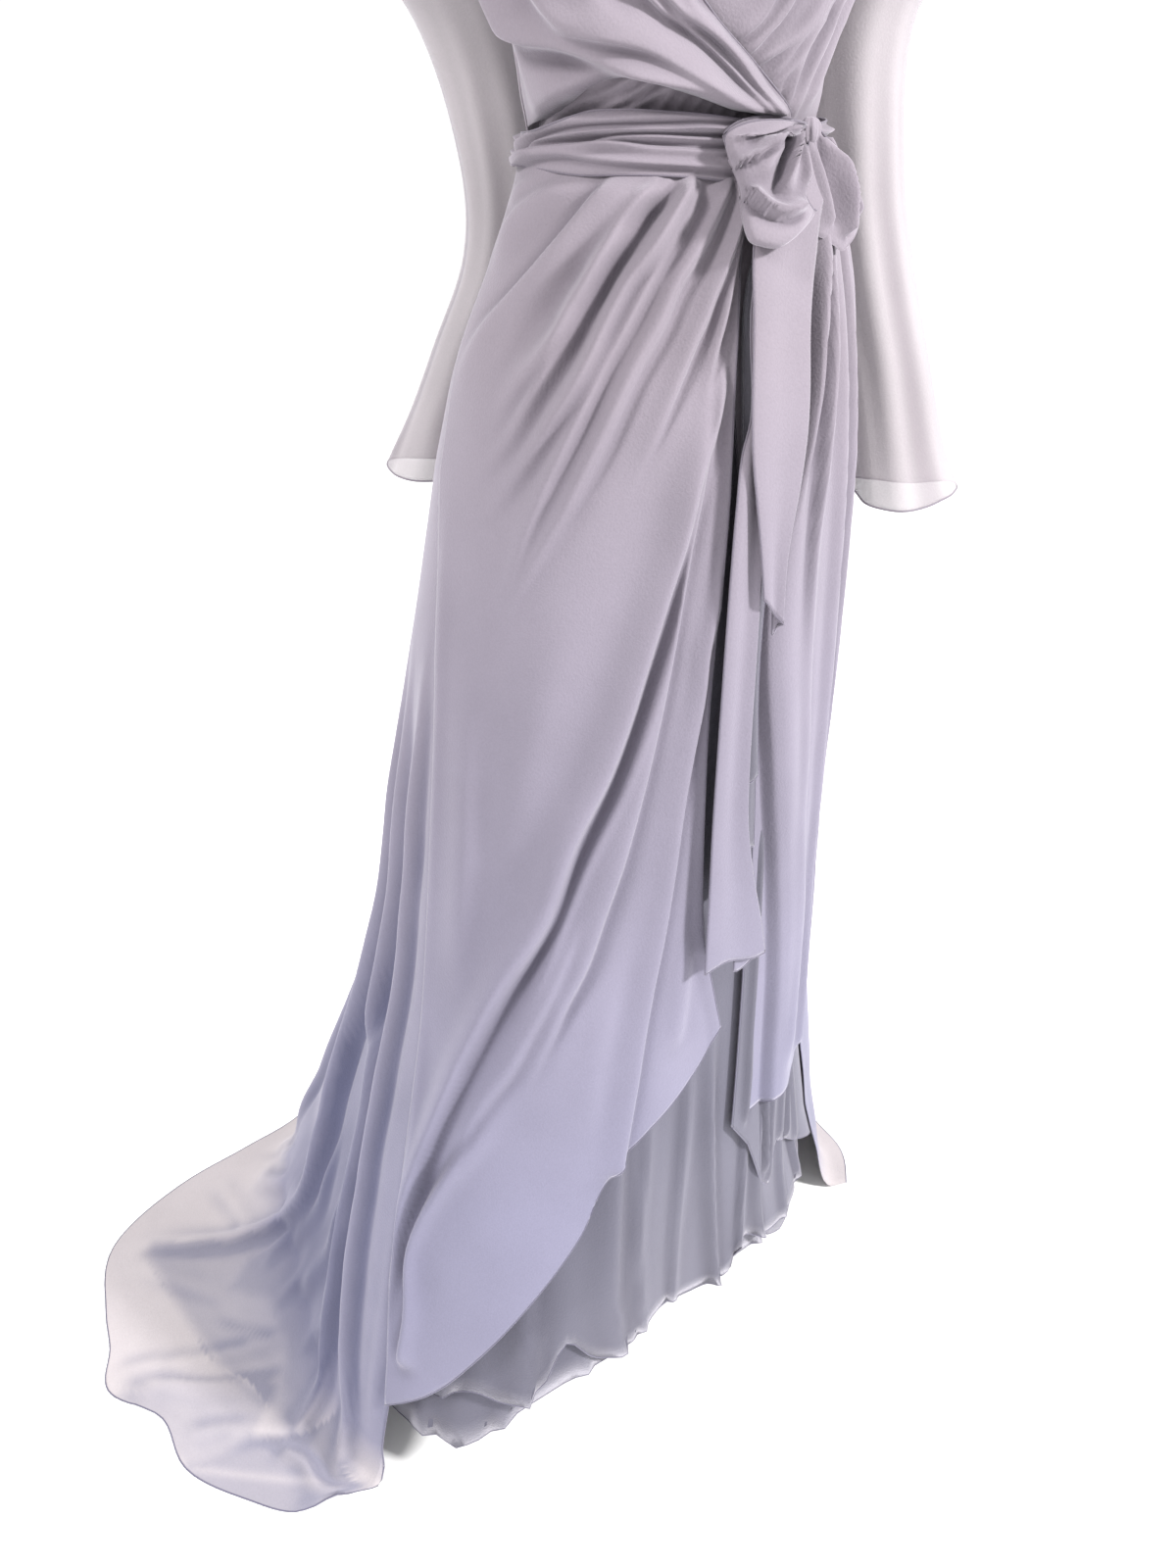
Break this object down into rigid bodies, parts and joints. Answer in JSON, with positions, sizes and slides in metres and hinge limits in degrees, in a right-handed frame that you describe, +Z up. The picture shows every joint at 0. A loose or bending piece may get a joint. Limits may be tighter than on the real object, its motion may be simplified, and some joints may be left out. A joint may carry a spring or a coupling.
{
  "type": "maxi dress",
  "caption": "Long-sleeved chiffon wrap dress to the floor with a tied sash, petal hems and a swept train, in its worn form.",
  "frame": {"origin": "on the body axis, level with the wearer's shoulders, where the wearer holds the dress up", "axes": "+Z up, the front faces -Y, the wearer's left is +X; the floor is at z = -1.42 m"},
  "size_m": [0.8491, 0.6832, 1.4538],
  "materials": {
    "chiffon": "matte lilac chiffon in several layers",
    "sheer_chiffon": "single sheer chiffon layer",
    "under_chiffon": "matte lilac chiffon in the shade"
  },
  "bodies": {
    "root": {"bodice_back": "chiffon", "bodice_front_right": "chiffon", "bodice_front_left": "chiffon", "sleeve_right": "sheer_chiffon", "sleeve_left": "sheer_chiffon", "sash_wrap": "chiffon", "bow_knot": "chiffon", "bow_loop_front": "chiffon", "bow_loop_side": "chiffon", "sash_tail_short": "chiffon", "sash_tail_long": "chiffon", "front_cascade": "under_chiffon", "skirt_front_right": "chiffon", "skirt_front_left": "chiffon", "skirt_left_under": "under_chiffon", "skirt_back": "sheer_chiffon", "underskirt_mid": "under_chiffon", "underskirt_inner": "under_chiffon"}
  },
  "joints": []
}
